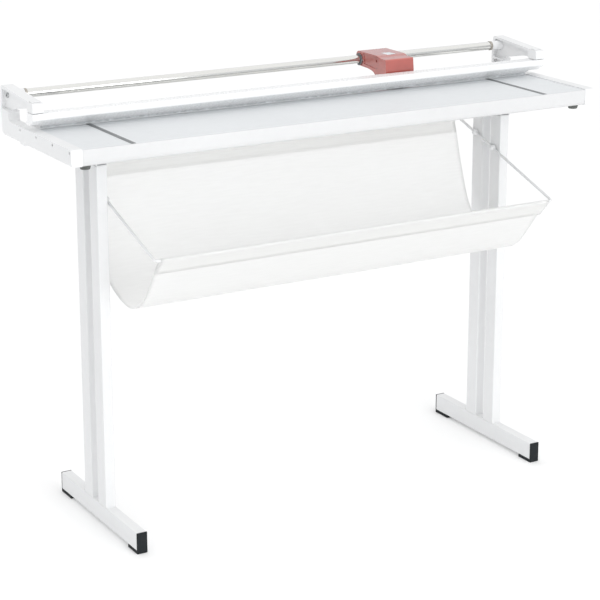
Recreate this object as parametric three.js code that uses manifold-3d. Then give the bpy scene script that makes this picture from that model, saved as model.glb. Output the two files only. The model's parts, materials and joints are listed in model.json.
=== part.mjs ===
// A rotary paper trimmer on a stand, with a cloth sling that catches the cut sheets.
// Millimetres. X runs along the cut, -Y is the operator's side and Z is up from the floor.
// The right-hand piece of each pair is modelled, and the left-hand one is its mirror image.

import * as THREE from "three";
import { mergeVertices } from "three/addons/utils/BufferGeometryUtils.js";
import Module from "manifold-3d";

const wasm = await Module();
wasm.setup();

// ---------------------------------------------------------------- driving dimensions

const GAP = 0.3; // between pieces that touch
const RUNNING = 0.08; // radial clearance of a running fit
const THROUGH = 1; // how far a cutter reaches past the face that it cuts

const table = { top: 990, bottom: 950, front: -190, rear: 72, sheet: 2, depth: 12 };
const endFrame = { inner: 697, outer: 725, railTop: 992, rear: 214, pocket: 10 };
const frameMiddle = (endFrame.inner + endFrame.outer) / 2;
const railLength = 2 * (endFrame.inner - GAP);

const guide = { y: 195, z: 1050, radius: 11, wall: 2, end: 675 };
const beam = { front: 22, rear: 58, top: 1034, bottom: 997, lipRear: 67, lipTop: 1010 };
const pin = { y: 40, radius: 3, headRadius: 5.8, headTop: 1056.2, headThickness: 2.6 };
const pinBore = { radius: 6.5, floor: 1037.5, clearRadius: 3.5 };

const head = { x: 300, halfWidth: 42, bushBore: 14 };
const blade = { radius: 22, z: 1010, front: 76, thickness: 1.9, bore: 9.3, axle: 5 };
const roller = { radius: 7, x: 34, z: beam.lipTop + GAP + 7, front: 59.5, rear: 66.2, axle: 2.5 };

const stand = { inner: 561, outer: 588, depth: 45, wall: 2, corner: 3 };
const standMiddle = (stand.inner + stand.outer) / 2;
const foot = { bottom: 8, front: -185, rear: 253.3, capEnd: 3.7, reach: 257 };
const footTop = foot.bottom + stand.depth;
const leg = { frontY: 7, rearY: 86 };
const bearer = { front: -16, rear: 214, top: table.bottom - GAP };
const bearerBottom = bearer.top - stand.depth;

const rod = { radius: 3.5, armX: 555, bend: 12 };
const sling = { halfWidth: 543, thickness: 2, loop: 5.2 };
const hemRod = { y: -(foot.reach - sling.loop - sling.thickness / 2), z: 730 };
const rearRod = { y: 175, z: 873 };

// ---------------------------------------------------------------- materials

const finish = (color, roughness, metalness) =>
  new THREE.MeshStandardMaterial({ color, roughness, metalness });

const white = finish(0xf4f4f2, 0.45, 0.0);
const grey = finish(0xdcdddd, 0.5, 0.0);
const steel = finish(0xb9b6b2, 0.3, 1.0);
const black = finish(0x1b1b1c, 0.7, 0.0);
const bronze = finish(0x4a443f, 0.45, 0.6);
const red = finish(0xb8564c, 0.4, 0.0);
const darkGrey = finish(0x4c4d50, 0.6, 0.0);
const cloth = finish(0xf2f2f0, 0.9, 0.0);

// ---------------------------------------------------------------- solids and outlines

// A closed geometry as a solid that can be joined and cut.
function solid(geometry) {
  const bare = geometry.clone();
  bare.deleteAttribute("normal");
  bare.deleteAttribute("uv");
  const merged = mergeVertices(bare, 1e-4);
  const vertProperties = new Float32Array(merged.attributes.position.array);
  const triVerts = new Uint32Array(merged.index.array);
  return new wasm.Manifold(new wasm.Mesh({ numProp: 3, vertProperties, triVerts }));
}

// A solid as a geometry with flat faces.
function geometryOf(body) {
  const mesh = body.getMesh();
  const positions = new THREE.BufferAttribute(mesh.vertProperties, 3);
  const indexed = new THREE.BufferGeometry().setAttribute("position", positions);
  indexed.setIndex(new THREE.BufferAttribute(mesh.triVerts, 1));
  const flat = indexed.toNonIndexed();
  flat.computeVertexNormals();
  return flat;
}

// The pieces joined into one solid.
function join(...geometries) {
  const bodies = geometries.map(solid);
  return geometryOf(bodies.reduce((whole, body) => whole.add(body)));
}

// The first geometry with the others cut away.
function cut(geometry, ...cutters) {
  const start = solid(geometry);
  return geometryOf(cutters.map(solid).reduce((whole, body) => whole.subtract(body), start));
}

// The part that two geometries share.
function common(a, b) {
  return geometryOf(solid(a).intersect(solid(b)));
}

// A block between two corners.
function block([x0, y0, z0], [x1, y1, z1]) {
  const box = new THREE.BoxGeometry(x1 - x0, y1 - y0, z1 - z0);
  return box.translate((x0 + x1) / 2, (y0 + y1) / 2, (z0 + z1) / 2);
}

// An outline of corners [a, b, radius], each rounded by its radius.
function outline(corners) {
  const shape = new THREE.Shape();
  corners.forEach(([a, b, radius = 0], i) => {
    const corner = new THREE.Vector2(a, b);
    const before = new THREE.Vector2(...corners.at(i - 1));
    const after = new THREE.Vector2(...corners[(i + 1) % corners.length]);
    const start = before.sub(corner).setLength(radius).add(corner);
    const end = after.sub(corner).setLength(radius).add(corner);
    if (i === 0) shape.moveTo(start.x, start.y);
    else shape.lineTo(start.x, start.y);
    if (radius > 0) shape.quadraticCurveTo(a, b, end.x, end.y);
  });
  shape.closePath();
  return shape;
}

// A rectangular tube's section, centred on its axis.
function tubeSection(width, depth, wall, corner) {
  const rectangle = (w, d, r) =>
    outline([[-w, -d, r], [w, -d, r], [w, d, r], [-w, d, r]]);
  const section = rectangle(width / 2, depth / 2, corner);
  section.holes.push(rectangle(width / 2 - wall, depth / 2 - wall, corner - wall / 2));
  return section;
}

const flatEnds = { bevelEnabled: false, curveSegments: 4 };

// A (y, z) outline drawn out along X.
function alongX(shape, x0, x1) {
  const body = new THREE.ExtrudeGeometry(shape, { depth: x1 - x0, ...flatEnds });
  const axes = new THREE.Matrix4().set(0, 0, 1, x0, 1, 0, 0, 0, 0, 1, 0, 0, 0, 0, 0, 1);
  return body.applyMatrix4(axes);
}

// An (x, z) outline drawn out along Y.
function alongY(shape, y0, y1) {
  const body = new THREE.ExtrudeGeometry(shape, { depth: y1 - y0, ...flatEnds });
  return body.rotateX(Math.PI / 2).translate(0, y1, 0);
}

// An (x, y) outline drawn out along Z.
function alongZ(shape, z0, z1) {
  return new THREE.ExtrudeGeometry(shape, { depth: z1 - z0, ...flatEnds }).translate(0, 0, z0);
}

// A turned piece: profile points [radius, place along the axis], anticlockwise.
function turned(profile, segments = 28) {
  return new THREE.LatheGeometry(profile.map(([r, along]) => new THREE.Vector2(r, along)), segments);
}

// The same, with its axis along X or along Z. Along Y it needs no turning.
const turnedX = (profile, segments) => turned(profile, segments).rotateZ(-Math.PI / 2);
const turnedZ = (profile, segments) => turned(profile, segments).rotateX(Math.PI / 2);

const diskProfile = (radius, from, to) => [[0, from], [radius, from], [radius, to], [0, to]];
const ringProfile = (inner, outer, from, to) =>
  [[inner, from], [outer, from], [outer, to], [inner, to], [inner, from]];

// A round bar along a curve.
function bar(path, radius, steps, sides = 10) {
  const section = new THREE.Shape();
  section.absarc(0, 0, radius, 0, 2 * Math.PI, false);
  // A full circle gets two sides for each curve segment.
  const options = { steps, extrudePath: path, bevelEnabled: false, curveSegments: sides / 2 };
  return new THREE.ExtrudeGeometry(section, options);
}

// A line that runs straight, turns a corner and runs straight again. It is spaced by its
// parameter, so that all steps but the first and the last fall in the corner.
class BentLine extends THREE.Curve {
  constructor(start, corner, end, bend, steps) {
    super();
    const towards = (point) => point.clone().sub(corner).setLength(bend).add(corner);
    const turn = new THREE.QuadraticBezierCurve3(towards(start), corner, towards(end));
    Object.assign(this, { start, end, turn, share: 1 / steps });
  }
  getPoint(t, target = new THREE.Vector3()) {
    const { start, end, turn, share } = this;
    if (t < share) return target.lerpVectors(start, turn.v0, t / share);
    if (t > 1 - share) return target.lerpVectors(end, turn.v2, (1 - t) / share);
    return turn.getPoint((t - share) / (1 - 2 * share), target);
  }
  getPointAt(t, target) {
    return this.getPoint(t, target);
  }
  getTangentAt(t, target) {
    return this.getTangent(t, target);
  }
}

// A coil spring standing on z = 0, with flat ends cut at its own height.
class Helix extends THREE.Curve {
  constructor(radius, height, turns) {
    super();
    Object.assign(this, { radius, height, turns });
  }
  getPoint(t, target = new THREE.Vector3()) {
    const angle = 2 * Math.PI * this.turns * t;
    const { radius, height } = this;
    return target.set(radius * Math.cos(angle), radius * Math.sin(angle), height * t);
  }
}

function coil(radius, wire, height, turns) {
  const stepsPerTurn = 10;
  const sides = 6;
  const climb = new Helix(radius, height - 2 * wire, turns);
  return bar(climb, wire, turns * stepsPerTurn, sides).translate(0, 0, wire);
}

// ---------------------------------------------------------------- the scene graph

const trimmer = new THREE.Group();
const cuttingHead = new THREE.Group();
cuttingHead.position.x = head.x;
trimmer.add(cuttingHead);

function add(name, geometry, material, parent = trimmer) {
  const mesh = new THREE.Mesh(geometry, material);
  mesh.name = name;
  parent.add(mesh);
  return mesh;
}

// A right-hand piece and its mirror image.
function addPair(name, geometry, material, parent) {
  add(`right_${name}`, geometry, material, parent);
  add(`left_${name}`, geometry, material, parent).scale.x = -1;
}

// ---------------------------------------------------------------- table

// A folded pan: its top sheet, a downturned edge all round and two stiffening ribs.
function tableTop() {
  const { top, front, rear, sheet, depth } = table;
  const edge = front + 3;
  const wholePan = block([-railLength / 2, edge, top - depth], [railLength / 2, rear, top]);
  const bays = [];
  const bayCount = 3;
  const bay = (rear - edge - sheet) / bayCount;
  for (let i = 0; i < bayCount; i++) {
    const low = [-railLength / 2 + sheet, edge + sheet + i * bay, top - depth - THROUGH];
    const high = [railLength / 2 - sheet, edge + (i + 1) * bay, top - sheet];
    bays.push(block(low, high));
  }
  return cut(wholePan, ...bays);
}

// The front edge: an upright face, a rounded turn and a flange under the table.
function frontRail() {
  const { top, bottom, front } = table;
  const metal = 2.7;
  const turn = 15;
  const flange = front + 45;
  const section = outline([
    [front, top], [front, bottom, turn], [flange, bottom], [flange, bottom + metal],
    [front + metal, bottom + metal, turn - metal], [front + metal, top],
  ]);
  return alongX(section, -railLength / 2, railLength / 2);
}

function boxRail(front, rear, bottom, top, wall) {
  const section = outline([[front, bottom, 2], [rear, bottom, 2], [rear, top], [front, top]]);
  const bore = [[front + wall, bottom + wall], [rear - wall, bottom + wall]];
  bore.push([rear - wall, top - wall], [front + wall, top - wall]);
  section.holes.push(outline(bore));
  return alongX(section, -railLength / 2, railLength / 2);
}

function fixedBlade() {
  const from = table.rear + GAP;
  const low = [-railLength / 2, from, table.top - 25];
  return block(low, [railLength / 2, from + 3.4, table.top]);
}

function scaleStrip() {
  const width = 11.5;
  const middle = 571;
  const from = table.top + GAP;
  const low = [middle - width / 2, table.front + 4, from];
  return block(low, [middle + width / 2, table.rear - 8, from + 0.5]);
}

function tableFoot() {
  const top = table.bottom - GAP;
  return turnedZ([[0, top - 10], [11, top - 10], [14, top], [0, top]], 20);
}

const railBottom = table.top - table.depth - GAP;
add("table_top", tableTop(), grey);
add("front_rail", frontRail(), white);
add("bed_rail", boxRail(20, table.rear, table.bottom, railBottom, 3), white);
add("rear_rail", boxRail(180, endFrame.rear, table.bottom, 975, 3), white);
add("fixed_blade", fixedBlade(), steel);
addPair("scale_strip", scaleStrip(), black);
for (const [place, y] of [["front", table.front + 28], ["rear", 197]]) {
  addPair(`${place}_table_foot`, tableFoot().translate(680, y, 0), black);
}

// ---------------------------------------------------------------- end frames

const onGuide = (geometry) => geometry.translate(0, guide.y, guide.z);

// The open C of an end frame: rail, spine and the arm that reaches over the table.
function endFrameOutline() {
  const { railTop, rear } = endFrame;
  const { front, bottom } = table;
  const throatRear = 171;
  return outline([
    [front, bottom, 10], [rear - 9, bottom, 3], [rear - 1, bottom + 7, 5], [rear + 8, 1011, 34],
    [rear, 1073.4, 9], [beam.front, 1058, 7], [beam.front, 1035, 3], [84, 1037, 10],
    [throatRear, 1020, 9], [throatRear, railTop, 8], [front, railTop, 5],
  ]);
}

// The hollow in a side of the arm and the spine. It runs out under the arm and leaves a ledge below.
function pocket(x0, x1, ledge) {
  const hollow = outline([
    [57, 1053, 4], [206, 1066, 6], [212.5, ledge, 5], [158, ledge], [57, 1026],
  ]);
  return alongX(hollow, x0, x1);
}

// The spine's inner side has a smaller hollow below the ledge.
function lowerPocket(x0, x1) {
  return alongX(outline([[180, 998, 3], [211, 998, 3], [212, 1011, 3], [180, 1011, 3]]), x0, x1);
}

function endFrameBody() {
  const { inner, outer, pocket: deep } = endFrame;
  const roundedEdge = 14;
  const ceiling = 1080;
  const across = outline([
    [inner, table.bottom], [outer, table.bottom, roundedEdge], [outer, ceiling], [inner, ceiling],
  ]);
  const plate = common(
    alongX(endFrameOutline(), inner, outer),
    alongY(across, table.front - THROUGH, endFrame.rear + 10),
  );
  const screwHole = turnedX(diskProfile(4.4, inner, outer));
  const bore = turnedZ(diskProfile(pinBore.radius, pinBore.floor, ceiling));
  const clearHole = turnedZ(diskProfile(pinBore.clearRadius, beam.top, ceiling));
  return cut(
    plate,
    pocket(outer - deep, outer + THROUGH, 1017),
    pocket(inner - THROUGH, inner + deep, 1016),
    lowerPocket(inner - THROUGH, inner + deep),
    onGuide(screwHole),
    bore.translate(frameMiddle, pin.y, 0),
    clearHole.translate(frameMiddle, pin.y, 0),
  );
}

addPair("end_frame", endFrameBody(), white);

// ---------------------------------------------------------------- guide tube

const webInner = endFrame.inner + endFrame.pocket;
const webOuter = endFrame.outer - endFrame.pocket;
const tubeBore = guide.radius - guide.wall;

// Holds the tube's end: a collar against the frame's web and a spigot in the tube.
function tubeSocket() {
  const collar = guide.radius + 1.3;
  const spigot = tubeBore - GAP;
  const from = guide.end + GAP;
  const to = webInner - GAP;
  const hole = 4.4;
  return turnedX([
    [hole, from - 16], [spigot, from - 16], [spigot, from], [collar, from],
    [collar, to], [hole, to], [hole, from - 16],
  ]);
}

function tubeScrew() {
  const tip = guide.end - 14;
  const under = webOuter + GAP;
  return turnedX([[0, tip], [4, tip], [4, under], [7, under], [7, under + 4], [0, under + 4]]);
}

const tubeProfile = ringProfile(tubeBore, guide.radius, -guide.end, guide.end);
const bumperProfile = ringProfile(guide.radius + GAP, 12.2, guide.end - 6, guide.end - GAP);
add("guide_tube", onGuide(turnedX(tubeProfile, 40)), steel);
addPair("bumper_ring", onGuide(turnedX(bumperProfile)), bronze);
addPair("tube_socket", onGuide(tubeSocket()), white);
addPair("tube_screw", onGuide(tubeScrew()), steel);

// ---------------------------------------------------------------- clamp beam

function clampBeam() {
  const { front, rear, top, bottom, lipRear, lipTop } = beam;
  const section = outline([
    [front, 1019, 2], [57, bottom], [lipRear, bottom], [lipRear, lipTop],
    [rear, lipTop], [rear, top, 1.5], [front, top, 1.5],
  ]);
  const whole = alongX(section, -endFrame.outer, endFrame.outer);
  const reliefHeight = 7.4;
  const low = [endFrame.inner - 5, front - THROUGH, bottom - THROUGH];
  const relief = block(low, [endFrame.outer + THROUGH, lipRear + THROUGH, bottom + reliefHeight]);
  const threadDepth = 14;
  const thread = turnedZ(diskProfile(pin.radius + GAP, top - threadDepth, top + THROUGH), 16);
  const rightEnd = [relief, thread.translate(frameMiddle, pin.y, 0)];
  const leftEnd = rightEnd.map((cutter) => cutter.clone().rotateZ(Math.PI));
  leftEnd.forEach((cutter, i) => cutter.translate(0, i === 0 ? front + lipRear : 2 * pin.y, 0));
  return cut(whole, ...rightEnd, ...leftEnd);
}

// A dark strip under the beam's rear edge that grips the sheet.
function clampRubber() {
  const half = railLength / 2 - 6;
  return block([-half, 58.5, table.top + 2.6], [half, 66, beam.bottom - GAP]);
}

// Screwed into the beam and guided by the frame's nose, with the spring under its head.
function beamPin() {
  const { radius, headRadius, headTop, headThickness } = pin;
  const tip = beam.top - 13;
  const under = headTop - headThickness;
  return turnedZ(
    [[0, tip], [radius, tip], [radius, under], [headRadius, under], [headRadius, headTop],
      [0, headTop]], 20);
}

function beamSpring() {
  const seat = pinBore.floor + GAP;
  const height = pin.headTop - pin.headThickness - GAP - seat;
  return coil(4.7, 0.5, height, 4).translate(0, 0, seat);
}

// Closes the bore in the nose, with a low bridge across the nose's top.
function noseCap() {
  const noseTop = 1059.6;
  const slope = 0.087;
  const plug = turnedZ(diskProfile(pinBore.radius - GAP, pin.headTop + GAP, noseTop + 1), 20);
  const bridge = new THREE.BoxGeometry(24, 13, 1.8).rotateX(slope);
  return join(plug, bridge.translate(0, 0, noseTop + 1.2));
}

const onPin = (geometry) => geometry.translate(frameMiddle, pin.y, 0);
add("clamp_beam", clampBeam(), white);
add("clamp_rubber", clampRubber(), black);
addPair("beam_pin", onPin(beamPin()), steel);
addPair("beam_spring", onPin(beamSpring()), steel);
addPair("nose_cap", onPin(noseCap()), white);

// ---------------------------------------------------------------- cutting head

function headHousing() {
  const { halfWidth, bushBore } = head;
  const section = outline([
    [68.5, 1000, 2], [110, 1000, 3], [116, 1018, 9], [128, 1027.5, 9], [150, 1032, 9],
    [204, 1034, 3], [211, 1040, 5], [211, 1064, 5], [203, 1071.5, 5], [112, 1071, 5],
    [99, 1067, 5], [70.5, 1066, 4], [66.8, 1036, 2],
  ]);
  const whole = alongX(section, -halfWidth, halfWidth);
  const bore = turnedX(diskProfile(bushBore, -halfWidth - THROUGH, halfWidth + THROUGH));
  const bladeBay = block([-28, 72.5, 990], [28, 103, 1036]);
  const hollow = block([-36, 116, 1010], [36, 176, 1066]);
  const axleHole = turned(diskProfile(blade.axle + GAP, 100, 113), 20).translate(0, 0, blade.z);
  const rollerHoles = [-1, 1].map((side) =>
    turned(diskProfile(roller.axle + GAP, 60, 81), 16).translate(side * roller.x, 0, roller.z));
  return cut(whole, onGuide(bore), bladeBay, hollow, axleHole, ...rollerHoles);
}

// A flanged bush that runs on the guide tube.
function guideBush() {
  const { halfWidth, bushBore } = head;
  const bore = guide.radius + RUNNING + 0.05;
  const body = bushBore - GAP;
  const face = halfWidth + GAP;
  const flange = 16;
  return turnedX([
    [bore, halfWidth - 18], [body, halfWidth - 18], [body, face], [flange, face],
    [flange, face + 3], [bore, face + 3], [bore, halfWidth - 18],
  ], 40);
}

const onAxle = (geometry) => geometry.translate(0, 0, blade.z);
const hubFlange = blade.front + blade.thickness + GAP;
const hubRear = 88;

// A disc ground to an edge on the side that meets the fixed blade.
function bladeWheel() {
  const { front, thickness, bore, radius } = blade;
  const rear = front + thickness;
  const grind = 1.6;
  return onAxle(turned(
    [[bore, front], [radius, front], [radius - grind, rear], [bore, rear], [bore, front]], 48));
}

function bladeHub() {
  const bore = blade.axle + RUNNING;
  const boss = blade.bore - GAP;
  return onAxle(turned([
    [bore, 75.5], [boss, 75.5], [boss, hubFlange], [14, hubFlange], [14, hubFlange + 2.2],
    [boss, hubFlange + 2.2], [boss, hubRear], [bore, hubRear], [bore, 75.5],
  ]));
}

function bladeAxle() {
  return onAxle(turned([
    [0, 73], [7, 73], [7, 75.2], [blade.axle, 75.2], [blade.axle, 112], [0, 112],
  ]));
}

// Pushes the hub and the wheel against the fixed blade.
function bladeSpring() {
  const spring = coil(7.2, 0.7, 103 - hubRear - 2 * GAP, 3).rotateX(-Math.PI / 2);
  return onAxle(spring.translate(0, hubRear + GAP, 0));
}

const onRollerAxle = (geometry) => geometry.translate(roller.x, 0, roller.z);

function pressRoller() {
  return onRollerAxle(
    turned(ringProfile(roller.axle + RUNNING, roller.radius, roller.front, roller.rear), 24));
}

function rollerAxle() {
  const headFront = roller.front - 1;
  const under = roller.front - 0.2;
  return onRollerAxle(turned([
    [0, headFront], [3.6, headFront], [3.6, under], [roller.axle, under], [roller.axle, 80], [0, 80],
  ], 24));
}

add("head_housing", headHousing(), red, cuttingHead);
addPair("guide_bush", onGuide(guideBush()), darkGrey, cuttingHead);
add("blade_wheel", bladeWheel(), steel, cuttingHead);
add("blade_hub", bladeHub(), darkGrey, cuttingHead);
add("blade_axle", bladeAxle(), steel, cuttingHead);
add("blade_spring", bladeSpring(), steel, cuttingHead);
addPair("press_roller", pressRoller(), darkGrey, cuttingHead);
addPair("roller_axle", rollerAxle(), steel, cuttingHead);

// ---------------------------------------------------------------- stand

const section = tubeSection(stand.outer - stand.inner, stand.depth, stand.wall, stand.corner);

function standLeg(y) {
  return alongZ(section, footTop + GAP, bearerBottom - GAP).translate(standMiddle, y, 0);
}

function footTube() {
  const middle = foot.bottom + stand.depth / 2;
  return alongY(section, foot.front, foot.rear - GAP).translate(standMiddle, 0, middle);
}

function topBearer() {
  const middle = bearer.top - stand.depth / 2;
  return alongY(section, bearer.front, bearer.rear).translate(standMiddle, 0, middle);
}

// Plugs a foot tube's end, closes it with a plate and carries it on a pad.
// direction is -1 at the front and 1 at the rear.
function footCap(tubeEnd, plateEnd, direction, padLength) {
  const { inner, outer, wall } = stand;
  const slack = wall + 3 * GAP; // clears the tube's rounded inside corners
  const between = (a, b) => [Math.min(a, b), Math.max(a, b)];
  const [plateLow, plateHigh] = between(tubeEnd + direction * GAP, plateEnd);
  const [padLow, padHigh] = between(plateEnd - direction * padLength, plateEnd);
  const [plugLow, plugHigh] = between(tubeEnd - direction * 20, plateEnd);
  return join(
    block([inner, plateLow, 0], [outer, plateHigh, footTop]),
    block([inner, padLow, 0], [outer, padHigh, foot.bottom - GAP]),
    block([inner + slack, plugLow, foot.bottom + slack], [outer - slack, plugHigh, footTop - slack]),
  );
}

addPair("front_leg", standLeg(leg.frontY), white);
addPair("rear_leg", standLeg(leg.rearY), white);
addPair("foot_tube", footTube(), white);
addPair("top_bearer", topBearer(), white);
addPair("front_foot_cap", footCap(foot.front, foot.front - foot.capEnd, -1, 52), black);
addPair("rear_foot_cap", footCap(foot.rear - GAP, foot.reach, 1, 58), black);

// ---------------------------------------------------------------- sling

// Points on a loop round a rod, from one angle to another in degrees.
function loopPoints({ y, z }, from, to) {
  const arc = new THREE.EllipseCurve(
    y, z, sling.loop, sling.loop,
    THREE.MathUtils.degToRad(from), THREE.MathUtils.degToRad(to), to < from);
  return arc.getPoints(10);
}

// The cloth's (y, z) line: over the rear rod, down, forwards and up over the hem rod.
function slingPath() {
  const rearLoop = loopPoints(rearRod, 190, -21);
  const hemLoop = loopPoints(hemRod, 223, -10);
  const hang = [
    [133, 768], [95, 668], [60, 622], [15, 592], [-45, 573], [-95, 575], [-140, 600],
    [-180, 645], [-215, 693],
  ].map(([y, z]) => new THREE.Vector2(y, z));
  const curve = new THREE.SplineCurve([rearLoop.at(-1), ...hang, hemLoop[0]]);
  return [...rearLoop, ...curve.getPoints(30).slice(1, -1), ...hemLoop];
}

// A strip of even thickness on both sides of a line.
function ribbon(path, thickness) {
  const offset = (side) => path.map((point, i) => {
    const along = path[Math.min(i + 1, path.length - 1)].clone().sub(path[Math.max(i - 1, 0)]);
    const across = new THREE.Vector2(-along.y, along.x).setLength(side * thickness / 2);
    return across.add(point);
  });
  return new THREE.Shape([...offset(-1), ...offset(1).reverse()]);
}

function paperSling() {
  const strip = ribbon(slingPath(), sling.thickness);
  return alongX(strip, -sling.halfWidth, sling.halfWidth);
}

// A side arm: straight down from the rear rod, then bent into the hem.
const armDrop = (rearRod.z - hemRod.z) / (rearRod.y - hemRod.y);
const armDirection = new THREE.Vector3(0, -1, -armDrop).normalize();
const armEnd = rod.armX - 23; // where the bent arm meets the hem rod

function slingArm() {
  const corner = new THREE.Vector3(rod.armX, hemRod.y, hemRod.z);
  const start = new THREE.Vector3(rod.armX, rearRod.y, rearRod.z).addScaledVector(armDirection, -4);
  const end = corner.clone().setX(armEnd);
  const steps = 10;
  return bar(new BentLine(start, corner, end, rod.bend, steps), rod.radius, steps);
}

// A domed clip that holds a side arm against a leg's inner face.
function armClip(y) {
  const z = rearRod.z - (rearRod.y - y) * armDrop;
  const foot = stand.inner - GAP;
  const dome = turnedX([[0, 547], [4, 547.6], [7, 550], [8, 553], [8, foot], [0, foot]], 20);
  const centre = new THREE.Vector3(rod.armX, y, z);
  const from = centre.clone().addScaledVector(armDirection, -20);
  const to = centre.clone().addScaledVector(armDirection, 20);
  const groove = bar(new THREE.LineCurve3(from, to), rod.radius + GAP, 1, 12);
  return cut(dome.translate(0, y, z), groove);
}

const hemHalf = armEnd - GAP;
const rearHalf = rod.armX - rod.radius - GAP;
const straightRod = (half, { y, z }) =>
  turnedX(diskProfile(rod.radius, -half, half), 16).translate(0, y, z);
add("paper_sling", paperSling(), cloth);
add("front_hem_rod", straightRod(hemHalf, hemRod), white);
add("rear_sling_rod", straightRod(rearHalf, rearRod), white);
addPair("sling_arm", slingArm(), white);
addPair("front_arm_clip", armClip(leg.frontY + 2), white);
addPair("rear_arm_clip", armClip(leg.rearY + 3), white);

export default trimmer;
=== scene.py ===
# The looks of a rotary paper trimmer on a stand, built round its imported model.
# Metres. X runs along the cut, -Y is the operator's side and Z is up from the floor.

import json
import math

import bmesh
import bpy
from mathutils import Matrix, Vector


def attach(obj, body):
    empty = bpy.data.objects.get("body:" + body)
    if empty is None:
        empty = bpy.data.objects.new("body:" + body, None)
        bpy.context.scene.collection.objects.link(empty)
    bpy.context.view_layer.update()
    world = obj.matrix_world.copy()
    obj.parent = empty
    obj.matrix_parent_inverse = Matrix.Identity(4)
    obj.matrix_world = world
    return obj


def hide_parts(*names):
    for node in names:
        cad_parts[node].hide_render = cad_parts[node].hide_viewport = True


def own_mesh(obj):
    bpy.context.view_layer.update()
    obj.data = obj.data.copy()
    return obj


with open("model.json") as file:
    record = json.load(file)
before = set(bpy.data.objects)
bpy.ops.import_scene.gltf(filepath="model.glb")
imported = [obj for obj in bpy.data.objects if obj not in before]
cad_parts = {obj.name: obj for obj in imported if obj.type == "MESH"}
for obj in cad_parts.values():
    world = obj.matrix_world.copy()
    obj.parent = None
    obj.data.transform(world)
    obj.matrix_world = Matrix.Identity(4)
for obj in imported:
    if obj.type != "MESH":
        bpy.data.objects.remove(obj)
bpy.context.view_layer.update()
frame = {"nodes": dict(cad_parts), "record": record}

MM = 0.001
SIDES = {"left": -1, "right": 1}
BODY_OF = {
    node: body
    for body, nodes in frame["record"]["behaviour"]["bodies"].items()
    for node in nodes
}


# ---------------------------------------------------------------- camera

def set_camera():
    """In front of the left end, looking down at the object. The turns are in radians."""
    data = bpy.data.cameras.new("camera")
    data.lens = 115.2
    data.sensor_width = 36.0
    data.shift_y = -0.1
    camera = bpy.data.objects.new("camera", data)
    camera.location = (-2.356, -3.990, 1.912)
    tilt_down = 0.267
    turn_right = 0.527
    camera.rotation_euler = (math.pi / 2 - tilt_down, 0.0, -turn_right)
    bpy.context.collection.objects.link(camera)
    bpy.context.scene.camera = camera


# ---------------------------------------------------------------- materials

class Look:
    """A material, with short ways to add what drives its shader."""

    def __init__(self, name, roughness, metallic=0.0, coords="Object"):
        self.material = bpy.data.materials.new(name)
        self.material.use_nodes = True
        self.tree = self.material.node_tree
        self.shader = self.tree.nodes["Principled BSDF"]
        self.shader.inputs["Roughness"].default_value = roughness
        self.shader.inputs["Metallic"].default_value = metallic
        self.place = self.tree.nodes.new("ShaderNodeTexCoord").outputs[coords]

    def node(self, kind, inputs, **settings):
        """A node with its settings, and its inputs given as values or as other nodes' outputs."""
        node = self.tree.nodes.new(kind)
        for key, value in settings.items():
            setattr(node, key, value)
        for key, value in inputs.items():
            if isinstance(value, bpy.types.NodeSocket):
                self.tree.links.new(value, node.inputs[key])
            else:
                node.inputs[key].default_value = value
        return node

    def noise(self, scale, detail=3.0, stretch=(1.0, 1.0, 1.0)):
        """Noise from about 0.3 to 0.7, with features about 1/scale metres across."""
        placed = self.node("ShaderNodeMapping", {"Vector": self.place, "Scale": stretch})
        inputs = {"Vector": placed.outputs["Vector"], "Scale": scale, "Detail": detail}
        return self.node("ShaderNodeTexNoise", inputs).outputs["Fac"]

    def blend(self, value, low, high, start=0.35, end=0.65):
        """A colour that goes from low to high as value goes from start to end."""
        ramp = self.node("ShaderNodeValToRGB", {"Fac": value})
        for stop, place, colour in zip(ramp.color_ramp.elements, (start, end), (low, high)):
            stop.position = place
            stop.color = (*colour, 1.0)
        return ramp.outputs["Color"]

    def scaled(self, value, low, high, start=0.35, end=0.65):
        """A number that goes from low to high as value goes from start to end."""
        inputs = {"Value": value, "From Min": start, "From Max": end, "To Min": low, "To Max": high}
        return self.node("ShaderNodeMapRange", inputs).outputs["Result"]

    def maths(self, operation, a, b=0.0):
        return self.node("ShaderNodeMath", {0: a, 1: b}, operation=operation).outputs["Value"]

    def mixed(self, factor, a, b):
        """A colour that goes from a to b as factor goes from 0 to 1."""
        mix, first, second, result = 0, 6, 7, 2
        inputs = {mix: factor, first: a, second: b}
        return self.node("ShaderNodeMix", inputs, data_type="RGBA").outputs[result]

    def edges(self):
        """1 along convex edges and 0 elsewhere."""
        pointed = self.node("ShaderNodeNewGeometry", {}).outputs["Pointiness"]
        return self.scaled(pointed, 0.0, 1.0, start=0.52, end=0.62)

    def drive(self, socket, value):
        self.tree.links.new(value, self.shader.inputs[socket])

    def bump(self, height, depth, strength=1.0):
        """A bump as deep as depth, in metres, where height spans 0 to 1."""
        inputs = {"Height": height, "Distance": depth, "Strength": strength}
        self.drive("Normal", self.node("ShaderNodeBump", inputs).outputs["Normal"])


def shade(colour, factor):
    """A colour made lighter or darker."""
    return tuple(channel * factor for channel in colour)


def coated(name, colour, roughness, grain, depth, stretch=(1.0, 1.0, 1.0)):
    """Baked paint on metal: an orange-peel skin, a faint cloudiness, and convex edges painted lighter in
    patches, partly as rubbed wear and partly as a painted highlight.
    """
    look = Look(name, roughness)
    cloud = look.noise(4.0, stretch=stretch)
    peel = look.noise(grain, detail=2.0, stretch=stretch)
    body = look.blend(cloud, shade(colour, 0.965), colour)
    # Convex edges painted lighter in noisy patches: partly rubbed wear, partly a painted highlight.
    rubbed_and_highlit_edges = look.maths("MULTIPLY", look.edges(), look.scaled(look.noise(60.0), 0.0, 0.5))
    look.drive("Base Color", look.mixed(rubbed_and_highlit_edges, body, (*shade(colour, 1.05), 1.0)))
    look.drive("Roughness", look.scaled(peel, roughness - 0.05, roughness + 0.07))
    look.bump(peel, depth)
    return look.material


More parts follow.
